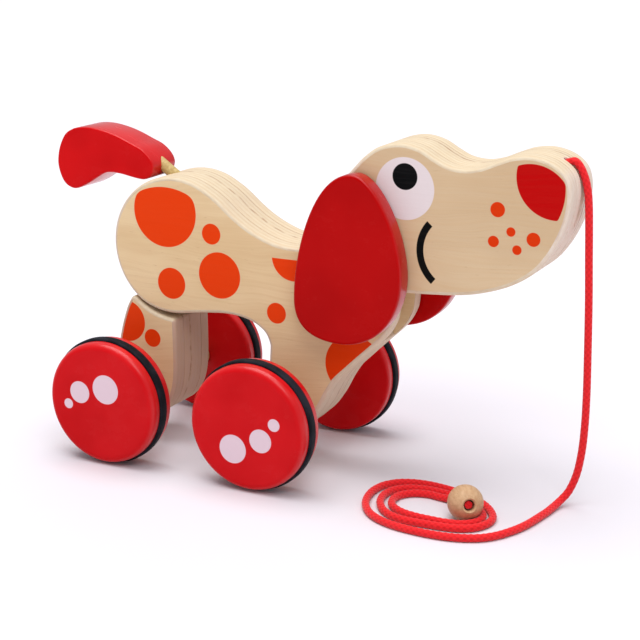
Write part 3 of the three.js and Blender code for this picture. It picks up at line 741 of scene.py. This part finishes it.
def ring_of(name, corners, filled):
    """A primitive circle whose corners are moved onto the given places."""
    fill = "NGON" if filled else "NOTHING"
    bpy.ops.mesh.primitive_circle_add(vertices=len(corners), fill_type=fill, location=(0, 0, 0))
    piece = just_added(name)
    for vertex, corner in zip(piece.data.vertices, corners):
        vertex.co = corner
    return piece


def tidy_normals(piece, join=False):
    select_parts(piece, "vertices")
    if join:
        bpy.ops.mesh.remove_doubles(threshold=WELD_REACH)
    bpy.ops.mesh.normals_make_consistent(inside=False)
    leave_edit()


def smooth(piece):
    choose(piece)
    bpy.ops.object.shade_smooth_by_angle(angle=SMOOTH_ANGLE)


def round_selected(radius, segments):
    """Rounds the selected edges and leaves edit mode."""
    bpy.ops.mesh.bevel(
        offset=radius * MM, segments=segments, profile=0.5, affect="EDGES", clamp_overlap=False,
    )
    leave_edit()


def at_side(piece, y):
    """A test for parts that lie wholly in the plane at y."""
    vertices = piece.data.vertices
    return lambda part: all(abs(vertices[i].co.y - y * MM) < PLANE_REACH for i in part.vertices)


def round_rim(piece, y, radius, segments):
    """Rounds the rim of the flat at y, and sets a narrow border in it that keeps its shading even."""
    select_parts(piece, "edges", at_side(piece, y))
    round_selected(radius, segments)
    in_plane = at_side(piece, y)
    select_parts(piece, "polygons", lambda face: len(face.vertices) > FLAT_CORNERS and in_plane(face))
    bpy.ops.mesh.inset(thickness=RIM_INSET * MM)
    leave_edit()


def board(name, outline, y_from, y_to, rims, finishes):
    """A board sawn to an outline, with its rims rounded by the given radius at each y."""
    piece = ring_of(name, [place(x, y_from, z) for x, z in outline], True)
    select_parts(piece, "polygons")
    bpy.ops.mesh.extrude_region_move(TRANSFORM_OT_translate={"value": (0, (y_to - y_from) * MM, 0)})
    leave_edit()
    tidy_normals(piece)
    for y, radius, segments in rims:
        round_rim(piece, y, radius, segments)
    for coat in finishes:
        piece.data.materials.append(coat)
    for face in piece.data.polygons:
        flat = at_side(piece, y_from)(face) or at_side(piece, y_to)(face)
        face.material_index = 0 if flat else len(finishes) - 1
    smooth(piece)
    return piece


def turned(name, profile, x, z, coat, steps=96):
    """A closed profile of radius and y, spun round the line along Y through x and z."""
    piece = ring_of(name, [place(x + radius, y, z) for radius, y in profile], False)
    on_axis = {k for k, (radius, y) in enumerate(profile) if radius == 0}
    if on_axis:
        select_parts(piece, "edges", lambda edge: set(edge.vertices) <= on_axis)
        bpy.ops.mesh.delete(type="EDGE")
        leave_edit()
    select_parts(piece, "vertices")
    bpy.ops.mesh.spin(steps=steps, angle=tau, center=place(x, 0, z), axis=(0, 1, 0))
    leave_edit()
    tidy_normals(piece, join=True)
    piece.data.materials.append(coat)
    smooth(piece)
    return piece


# ---- outlines

SPLINE_STEPS = 8
EVEN_STEP = 0.7
CORNER_RADIUS = 1.75
NOTCH_RADIUS = 0.6
EASING_ROUNDS = 160
EASING_SHARE = 0.45
SAME_POINT = 0.001


def arc(x, z, radius, start, end, step=3.0):
    """Points along an arc, with its angles in degrees."""
    count = max(2, round(abs(end - start) / step))
    points = []
    for k in range(count + 1):
        angle = radians(start + (end - start) * k / count)
        points.append((x + radius * cos(angle), z + radius * sin(angle)))
    return points


def placed(shares, x, z, width, height):
    return [(x + across / 1000 * width, z + up / 1000 * height) for across, up in shares]


def curve_through(points):
    """The smooth line through the points that the solids' outlines follow."""
    points = [np.array(point, float) for point in points]
    line = []
    last = len(points) - 1
    for k in range(last):
        before, start = points[max(k - 1, 0)], points[k]
        end, after = points[k + 1], points[min(k + 2, last)]
        leave, arrive = (end - before) / 2, (after - start) / 2
        for s in range(SPLINE_STEPS):
            t = s / SPLINE_STEPS
            line.append(tuple(
                (2 * start - 2 * end + leave + arrive) * t ** 3
                + (-3 * start + 3 * end - 2 * leave - arrive) * t ** 2 + leave * t + start
            ))
    line.append(tuple(points[-1]))
    return line


def sawn(points, convex=CORNER_RADIUS):
    """A closed outline in even steps, with its corners and notches eased to a radius."""
    line = np.array(points, float)
    if np.sum(line[:, 0] * np.roll(line[:, 1], -1) - np.roll(line[:, 0], -1) * line[:, 1]) < 0:
        line = line[::-1]
    gaps = np.hypot(*(np.roll(line, -1, axis=0) - line).T)
    line = line[gaps > SAME_POINT]
    closed = np.vstack([line, line[:1]])
    gone = np.concatenate([[0], np.cumsum(np.hypot(*np.diff(closed, axis=0).T))])
    count = round(gone[-1] / EVEN_STEP)
    goals = np.linspace(0, gone[-1], count, endpoint=False)
    even = np.column_stack([np.interp(goals, gone, closed[:, axis]) for axis in (0, 1)])
    for _ in range(EASING_ROUNDS):
        before, after = np.roll(even, 1, axis=0), np.roll(even, -1, axis=0)
        arriving, leaving = even - before, after - even
        reach = (np.hypot(*arriving.T) + np.hypot(*leaving.T)) / 2
        cross = arriving[:, 0] * leaving[:, 1] - arriving[:, 1] * leaving[:, 0]
        bend = np.arctan2(cross, np.sum(arriving * leaving, axis=1))
        sharp = (bend > reach / convex) | (bend < -reach / NOTCH_RADIUS)
        middle = (before + after) / 2
        even = np.where(sharp[:, None], even + EASING_SHARE * (middle - even), even)
    return [tuple(point) for point in even]


BACK_HEIGHT = 94.6
BACK_RISE = 23.9
BELLY_HEIGHT = 62.8
GROIN_DEPTH = 10.8
CHEST_TOP = (118, 80.9)
JOINT_GAP = 0.6
SLOT_FRONT = 20.6
SLOT_X = 81
THROAT = (109.5, 57.3)
TONGUE_RADIUS = 11
TONGUE_WIDTH = 16
TONGUE_GAP = 0.3
TONGUE_ANGLE = 248
LEG_GAP = 1
LEG_SWING = 12
HEAD_FOOT = 81.3
HEAD_TONGUE_RADIUS = 15
TAIL_PLACE = (4.6, 108.5)
EAR_STEPS = 24
# Where the arcs of the outlines start and end, in degrees
RUMP_ARC = (58, 236)
LEG_ARC = (268.9, 226.2)
NECK_ARC = (-61.8, 155)
CHEEK_ARC = (-38, 140)
HEAD_TONGUE_ARC = (-90, -220)
# What the shares of the outlines are taken of, across and up
FRONT_LEG_SIZE = (49, 80.9)
LEG_SIZE = (32, 66)
HEAD_SIZE = (84.2, 58.7)
EAR_SIZE = (46.8, 68.5)
TAIL_SIZE = (-49, 27.1)

# The outlines, in thousandths of their sizes, across and up
front_leg_shares = [
    (-143, 643), (-150, 560), (-165, 408), (-167, 309), (-151, 237), (-98, 184), (-16, 156), (67, 176),
    (143, 215), (237, 271), (333, 357), (400, 435), (473, 503), (567, 561), (661, 617), (751, 669),
    (841, 721), (906, 763), (953, 807), (988, 858), (1000, 915),
]
back_shares = [
    (805, 142), (758, 33), (688, 0), (613, 0), (538, 46), (458, 151), (383, 293), (317, 460), (259, 632),
    (215, 745),
]
belly_shares = [
    (-254, 79), (-158, 213), (-62, 264), (33, 241), (129, 176), (223, 111), (317, 56), (412, 9), (480, 0),
    (550, 19), (640, 83), (731, 231), (777, 361), (821, 537), (848, 759), (865, 1000),
]
leg_shares = [
    (-194, 961), (-250, 909), (-322, 809), (-378, 705), (-422, 598), (-447, 492), (-444, 394), (-375, 297),
    (-238, 226), (-56, 191), (131, 191), (278, 229), (400, 300), (478, 394), (513, 515), (517, 697),
]
head_shares = [
    (-178, 438), (-165, 557), (-122, 687), (-56, 797), (8, 893), (83, 966), (184, 1000), (280, 978),
    (365, 915), (426, 877), (505, 865), (582, 886), (659, 932), (736, 971), (825, 981), (914, 947),
    (977, 874), (1000, 770), (995, 651), (971, 520), (918, 363), (843, 230), (736, 129), (612, 63),
    (493, 27), (350, 9), (240, 0), (152, 0),
]
ear_shares = [
    (0, 143), (203, 143), (455, -190), (455, -438), (455, -657), (235, -857), (-107, -857), (-374, -857),
    (-545, -788), (-545, -613), (-545, -336), (-363, 143),
]
tail_shares = [
    (0, 450), (17, 544), (57, 635), (126, 729), (228, 804), (329, 878), (431, 937), (534, 978), (639, 1000),
    (746, 993), (833, 955), (913, 863), (969, 690), (996, 519), (1000, 352), (967, 161), (914, 45), (826, 0),
    (714, 75), (605, 193), (518, 285), (447, 314), (344, 306), (242, 276), (181, 258), (108, 250), (54, 285),
    (15, 360),
]

front_leg = curve_through(placed(front_leg_shares, WHEEL_BASE, 0, *FRONT_LEG_SIZE))
back = curve_through(placed(back_shares, RUMP[0], BACK_HEIGHT, NECK[0] - RUMP[0], BACK_RISE))
belly = curve_through(placed(belly_shares, RUMP[0], BELLY_HEIGHT, WHEEL_BASE - RUMP[0], -GROIN_DEPTH))
body_outline = sawn([
    *arc(*RUMP, RUMP_RADIUS, *RUMP_ARC), *belly, *front_leg[1:], CHEST_TOP,
    *arc(*NECK, NECK_RADIUS, *NECK_ARC), *back,
])


def half_angle(half_width, radius):
    """Half the angle that a width takes up on an arc, in degrees."""
    return degrees(asin(half_width / radius))


rump_slot = TONGUE_RADIUS + JOINT_GAP
slot_side = TONGUE_WIDTH / 2 + TONGUE_GAP
slot_on_rump = half_angle(slot_side, RUMP_RADIUS)
slot_on_disc = half_angle(slot_side, rump_slot)
body_core_outline = sawn([
    *arc(*RUMP, RUMP_RADIUS, RUMP_ARC[0], TONGUE_ANGLE - slot_on_rump),
    *arc(*RUMP, rump_slot, TONGUE_ANGLE - slot_on_disc, TONGUE_ANGLE + LEG_SWING + slot_on_disc - 360),
    *[point for point in belly if point[0] > SLOT_FRONT],
    *[point for point in front_leg[1:] if point[1] < THROAT[1]], THROAT, (SLOT_X, BACK_HEIGHT),
    *[point for point in back if point[0] < SLOT_X],
], NOTCH_RADIUS)
leg_arc = RUMP_RADIUS + LEG_GAP
leg_line = curve_through(placed(leg_shares, 0, 0, *LEG_SIZE))
leg_outline = sawn([*arc(*RUMP, leg_arc, *LEG_ARC), *leg_line])
tongue_on_arc = half_angle(TONGUE_WIDTH / 2, leg_arc)
tongue_on_disc = half_angle(TONGUE_WIDTH / 2, TONGUE_RADIUS)
leg_core_outline = sawn([
    *arc(*RUMP, leg_arc, LEG_ARC[0], TONGUE_ANGLE + tongue_on_arc),
    *arc(*RUMP, TONGUE_RADIUS, TONGUE_ANGLE + tongue_on_disc - 360, TONGUE_ANGLE - tongue_on_disc),
    *arc(*RUMP, leg_arc, TONGUE_ANGLE - tongue_on_arc, LEG_ARC[1]), *leg_line,
], NOTCH_RADIUS)
head_line = curve_through(placed(head_shares, NECK[0], HEAD_FOOT, *HEAD_SIZE))
cheek_outline = sawn([*arc(*NECK, NECK_RADIUS + JOINT_GAP, *CHEEK_ARC), *head_line])
head_core_outline = sawn([*arc(*NECK, HEAD_TONGUE_RADIUS, *HEAD_TONGUE_ARC), *head_line], NOTCH_RADIUS)
tail_outline = sawn(curve_through(placed(tail_shares, *TAIL_PLACE, *TAIL_SIZE)))


def ear_outline(turn):
    """The ear's curves, turned by some degrees about its pin."""
    corners = [Vector(corner) for corner in placed(ear_shares, *EAR_PIN, *EAR_SIZE)]
    cosine, sine = cos(radians(turn)), sin(radians(turn))
    line = []
    for k in range(0, len(corners), 3):
        for x, z in bezier([*corners[k:k + 3], corners[(k + 3) % len(corners)]], EAR_STEPS):
            x, z = x - EAR_PIN[0], z - EAR_PIN[1]
            line.append((EAR_PIN[0] + x * cosine - z * sine, EAR_PIN[1] + x * sine + z * cosine))
    return sawn(line)


# ---- wheels and tyres

AXLE_BORE = 3.3
AXLE_END = 42.8
SPACER_INNER = 14.6
SPACER_OUTER = 33.2
SPACER_RADIUS = 5
SPACER_ROUND = 0.5
WHEEL_OUTER = 47.5
WHEEL_INNER = 33.5
WHEEL_RADIUS = 26
WHEEL_ROUND = 3
TYRE_RADIUS = 27
TYRE_MIDDLE = 40.3
TYRE_HALF = 2.2
TYRE_DEPTH = 3.4
TYRE_EDGE = 0.9
SEAT_GAP = 0.3
FLAT_BORDER = 0.4


def corner(radius, y, bend, start, steps=6):
    """A quarter turn of a profile."""
    return arc(radius, y, bend, start, start + 90, 90 / steps)


tyre_inner = TYRE_MIDDLE - TYRE_HALF
tyre_outer = TYRE_MIDDLE + TYRE_HALF
seat_radius = TYRE_RADIUS - TYRE_DEPTH - SEAT_GAP
wheel_profile = [
    (0, AXLE_END), (AXLE_BORE, AXLE_END), (AXLE_BORE, WHEEL_INNER),
    (WHEEL_RADIUS - EDGE_ROUND - FLAT_BORDER, WHEEL_INNER),
    *corner(WHEEL_RADIUS - EDGE_ROUND, WHEEL_INNER + EDGE_ROUND, EDGE_ROUND, -90),
    (WHEEL_RADIUS, tyre_inner - SEAT_GAP), (seat_radius, tyre_inner - SEAT_GAP),
    (seat_radius, tyre_outer + SEAT_GAP), (WHEEL_RADIUS, tyre_outer + SEAT_GAP),
    *corner(WHEEL_RADIUS - WHEEL_ROUND, WHEEL_OUTER - WHEEL_ROUND, WHEEL_ROUND, 0, 8),
    (WHEEL_RADIUS - WHEEL_ROUND - FLAT_BORDER, WHEEL_OUTER), (0, WHEEL_OUTER),
]
tyre_profile = [
    (TYRE_RADIUS - TYRE_DEPTH, tyre_inner),
    *corner(TYRE_RADIUS - TYRE_EDGE, tyre_inner + TYRE_EDGE, TYRE_EDGE, -90),
    *corner(TYRE_RADIUS - TYRE_EDGE, tyre_outer - TYRE_EDGE, TYRE_EDGE, 0),
    (TYRE_RADIUS - TYRE_DEPTH, tyre_outer),
]
spacer_profile = [
    (AXLE_BORE, SPACER_INNER),
    *corner(SPACER_RADIUS - SPACER_ROUND, SPACER_INNER + SPACER_ROUND, SPACER_ROUND, -90, 3),
    *corner(SPACER_RADIUS - SPACER_ROUND, SPACER_OUTER - SPACER_ROUND, SPACER_ROUND, 0, 3),
    (AXLE_BORE, SPACER_OUTER),
]
bead_end = half_angle(BEAD_HALF_LENGTH, BEAD_RADIUS)
bead_profile = [
    (BEAD_HOLE, BEAD_BEVEL - BEAD_HALF_LENGTH),
    *arc(0, 0, BEAD_RADIUS, -bead_end, bead_end, 5),
    (BEAD_HOLE, BEAD_HALF_LENGTH - BEAD_BEVEL),
]

# ---- making the cord and bead

braid_line = smooth_line(cord_line(), RING_STEP)
cord = make_cord(braid_line)
bead = turned("bead", bead_profile, 0, 0, bead_wood(), 64)
bead_turn = Vector((0, 1, 0)).rotation_difference(bead_axis).to_matrix().to_4x4()
bead_shift = Matrix.Translation(place(*BEAD_CENTRE))
bead.data.transform(bead_shift @ bead_turn @ Matrix.Translation(-place(0, 0, 0)))
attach(bead, "body")
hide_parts("pull_bead")
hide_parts("pull_cord", "pull_cord_loops")
cord_length = sum((b - a).length for a, b in zip(braid_line, braid_line[1:])) * MM
cord_mouth = place(*HOLE_MOUTH)
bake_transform(cord)
[place(*point) for point in braid_line]

# ---- making the wooden pieces

EAR_REDS = (shade(171, 3, 4), shade(181, 6, 7), shade(194, 34, 32))
TAIL_REDS = (shade(194, 8, 12), shade(210, 14, 18), shade(218, 50, 48))
WHEEL_REDS = (shade(196, 14, 20), shade(208, 22, 28), shade(222, 60, 60))
DOT_PINK = shade(227, 203, 212)
SIDES = ((-1, "right"), (1, "left"))
# The rims' radii and how many facets they have
OUTER_RIM = (EDGE_ROUND, 6)
INNER_RIM = (0.2, 3)
EAR_RIM = (1.2, 5)
TAIL_RIM = (0.8, 5)
PEG_RIM = (0.5, 3)

ear_lacquer = lacquer("ear_lacquer", *EAR_REDS)
tail_lacquer = lacquer("tail_lacquer", *TAIL_REDS)
dowel = dowel_wood("dowel_wood", shade(206, 182, 122), shade(180, 152, 96))
pieces = []


def dress(piece, body, node, slot):
    pieces.append(piece)
    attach(piece, body)
    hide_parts(node)
    return piece


def laminate(part, body, sides, side_outline, core_outline, face, ply):
    """Two painted side boards glued to a middle board."""
    for side, label in SIDES:
        rims = [(side * SIDE_OUTER, *OUTER_RIM), (side * SIDE_INNER, *INNER_RIM)]
        name = f"{part}_board_{label}"
        piece = board(name, side_outline, side * SIDE_INNER, side * SIDE_OUTER, rims, [face, ply])
        dress(piece, body, f"{sides}_{label}", "wood")
    rims = [(-CORE_HALF, *INNER_RIM), (CORE_HALF, *INNER_RIM)]
    core = board(f"{part}_board_middle", core_outline, -CORE_HALF, CORE_HALF, rims, [ply])
    return dress(core, body, f"{body}_core", "wood_core")


body_face = face_wood("body_face_wood", 3.0, body_paint, PALE, PALE_LIGHT)
body_ply = edge_wood("body_edge_wood", 1.5, BODY_END_GRAIN_AND_SHADE)
laminate("body", "body", "body_side", body_outline, body_core_outline, body_face, body_ply)
leg_face = face_wood("leg_face_wood", 41.0, leg_paint, PALE, PALE_LIGHT)
leg_ply = edge_wood("leg_edge_wood", -2.2, LEG_END_GRAIN_AND_SHADE)
laminate("leg", "hind_leg", "hind_leg_side", leg_outline, leg_core_outline, leg_face, leg_ply)
head_face = face_wood("head_face_wood", 77.0, head_paint, HEAD_PALE, HEAD_LIGHT)
head_ply = edge_wood("head_edge_wood", 4.0, HEAD_END_GRAIN_AND_SHADE)
head_core = laminate("head", "head", "head_cheek", cheek_outline, head_core_outline, head_face, head_ply)


def cut(piece, cutter):
    """Takes the cutter's shape out of a piece."""
    choose(piece)
    modifier = piece.modifiers.new("cut", "BOOLEAN")
    modifier.operation = "DIFFERENCE"
    modifier.solver = "EXACT"
    modifier.object = cutter
    bpy.ops.object.modifier_apply(modifier=modifier.name)
    bpy.data.objects.remove(cutter, do_unlink=True)


def rod(name, radius, length, sides):
    """An upright rod in the scene's middle."""
    size = {"radius": radius * MM, "depth": length * MM}
    bpy.ops.mesh.primitive_cylinder_add(vertices=sides, **size, location=(0, 0, 0))
    return just_added(name)


def lean(piece, where, angle, shift):
    """Leans a rod to an angle above the floor, moves it along itself, and sets it in place."""
    turn = Matrix.Rotation(pi / 2 - angle, 4, "Y")
    piece.data.transform(Matrix.Translation(where) @ turn @ Matrix.Translation((0, 0, shift * MM)))


# The groove down the nose, with a rounded floor, and the hole from which the cord comes
GROOVE_OUTLINE = [(179.9, 137.5), (184.8, 108.3), (204.8, 108.3), (199.9, 137.5)]
GROOVE_HALF = 2
GROOVE_OPENING = place(190, 0, 0).x
GROOVE_ROUND = (1.7, 5)
HOLE_SIZE = (2, 14)
HOLE_SHIFT = -3
groove_cutter = board("groove_cutter", GROOVE_OUTLINE, -GROOVE_HALF, GROOVE_HALF, [], [head_ply])


def along_floor(edge):
    """Whether an edge of the cutter runs along the groove's floor."""
    start, end = [groove_cutter.data.vertices[i].co for i in edge.vertices]
    return max(start.x, end.x) < GROOVE_OPENING and abs(start.y - end.y) < PLANE_REACH


select_parts(groove_cutter, "edges", along_floor)
round_selected(*GROOVE_ROUND)
cut(head_core, groove_cutter)
hole_cutter = rod("hole_cutter", *HOLE_SIZE, 32)
lean(hole_cutter, cord_mouth, HOLE_ANGLE, HOLE_SHIFT)
cut(head_core, hole_cutter)
smooth(head_core)

EAR_FACES = (14.6, 22.6)
LEFT_EAR_TURN = 15.5
for side, label in SIDES:
    inner, outer = [side * y for y in EAR_FACES]
    outline = ear_outline(LEFT_EAR_TURN if side > 0 else 0)
    rims = [(inner, *EAR_RIM), (outer, *EAR_RIM)]
    ear = board(f"{label}_ear", outline, inner, outer, rims, [ear_lacquer])
    dress(ear, f"ear_{label}", f"ear_{label}", "red_board")

TAIL_HALF = 9
tail_rims = [(-TAIL_HALF, *TAIL_RIM), (TAIL_HALF, *TAIL_RIM)]
tail = board("tail_board", tail_outline, -TAIL_HALF, TAIL_HALF, tail_rims, [tail_lacquer])
dress(tail, "tail", "tail", "red_board")

# A rod's radius and length, and how far it is moved along itself
PEG_SIZE = (2.5, 27)
PEG_SHIFT = -0.5
PEG_ANGLE = radians(146)
PEG_PLACE = (8.9, 0, 117.3)
peg = rod("tail_dowel", *PEG_SIZE, 48)


def round_an_end(edge):
    start, end = [peg.data.vertices[i].co for i in edge.vertices]
    return start.z == end.z


select_parts(peg, "edges", round_an_end)
round_selected(*PEG_RIM)
lean(peg, place(*PEG_PLACE), PEG_ANGLE, PEG_SHIFT)
peg.data.materials.append(dowel)
smooth(peg)
dress(peg, "body", "tail_peg", "wood_dowel")

REAR_DOTS = [(2.7, 33.8, 6.25), (-10.2, 30.9, 4.75), (-16.1, 25.1, 2.15)]
FRONT_DOTS = [(63.1, 17.9, 6.0), (75.7, 23.2, 4.9), (81.8, 30.8, 2.6)]
rubber = tyre_rubber()
for axle, x, dots in (("rear", 0, REAR_DOTS), ("front", WHEEL_BASE, FRONT_DOTS)):
    wheel_lacquer = lacquer(f"{axle}_wheel_lacquer", *WHEEL_REDS, dots)
    for side, label in SIDES:
        for name, profile, coat, slot in (
            ("wheel", wheel_profile, wheel_lacquer, "red_wheel"),
            ("tyre", tyre_profile, rubber, "rubber"),
            ("spacer", spacer_profile, dowel, "wood_dowel"),
        ):
            sided = [(radius, side * y) for radius, y in profile]
            piece = turned(f"{axle}_{label}_{name}", sided, x, AXLE_HEIGHT, coat)
            dress(piece, f"{axle}_axle", f"{axle}_{name}_{label}", slot)

for piece in pieces:
    directions = [0.0] * 3 * len(piece.data.vertices)
    piece.data.vertices.foreach_get("normal", directions)
    piece.data.attributes.new("facing", "FLOAT_VECTOR", "POINT").data.foreach_set("vector", directions)

for node in ("hind_leg_pin", "neck_pin", "ear_pin", "front_axle", "rear_axle"):
    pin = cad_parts[node]
    pin.data.materials.clear()
    pin.data.materials.append(dowel)

# ---- floor and light

# In metres: the floor's size, from where to where its painted shade round the toy fades out, and what the
# lights aim at
FLOOR_SIZE = 14
FLOOR_SHADE_FADES = (0.1, 0.27)
LIGHT_AIM = (0, 0, 0.06)
SHADE_MIDDLE = (110, -20, 0)
AIR_STRENGTH = 0.5

bpy.ops.mesh.primitive_plane_add(size=FLOOR_SIZE, location=(0, 0, 0))
floor = bpy.context.active_object
floor.name = "studio_floor"
paper = Finish("studio_paper", Specular_IOR_Level=0.2)
paper_place = paper.add("TexCoord").outputs["Object"]
cloud = paper.noise(paper_place, 3.0, detail=2)
paper_tone_and_shade = paper.blend(cloud, shade(233, 231, 236), shade(236, 234, 239))
ends = {0: paper_place, 1: place(*SHADE_MIDDLE)}
from_toy = paper.add("VectorMath", ends, operation="DISTANCE").outputs["Value"]
# Painted shade: the floor is greyer near the toy and fades to the paper's tone further out
paper_tone_and_shade = paper.blend(paper.step(from_toy, *FLOOR_SHADE_FADES), shade(220, 217, 223), paper_tone_and_shade)
floor.data.materials.append(paper.done(paper_tone_and_shade, 0.8))

world = bpy.data.worlds.new("studio_air")
world.use_nodes = True
air = world.node_tree.nodes["Background"].inputs
air["Color"].default_value = shade(250, 250, 255)
air["Strength"].default_value = AIR_STRENGTH
bpy.context.scene.world = world


def soft_light(name, kind, location, energy):
    """A light that is aimed at the toy's middle."""
    light = bpy.data.lights.new(name, kind)
    light.energy = energy
    set_up(name, light, location, Vector(LIGHT_AIM))
    return light


soft_light("ceiling", "SUN", location=(-0.12, -0.02, 1.3), energy=2.5).angle = radians(50)
soft_light("front_box", "AREA", location=(0.44, -0.6, 0.94), energy=3.6).size = 0.5
bpy.context.scene.view_settings.view_transform = "Standard"
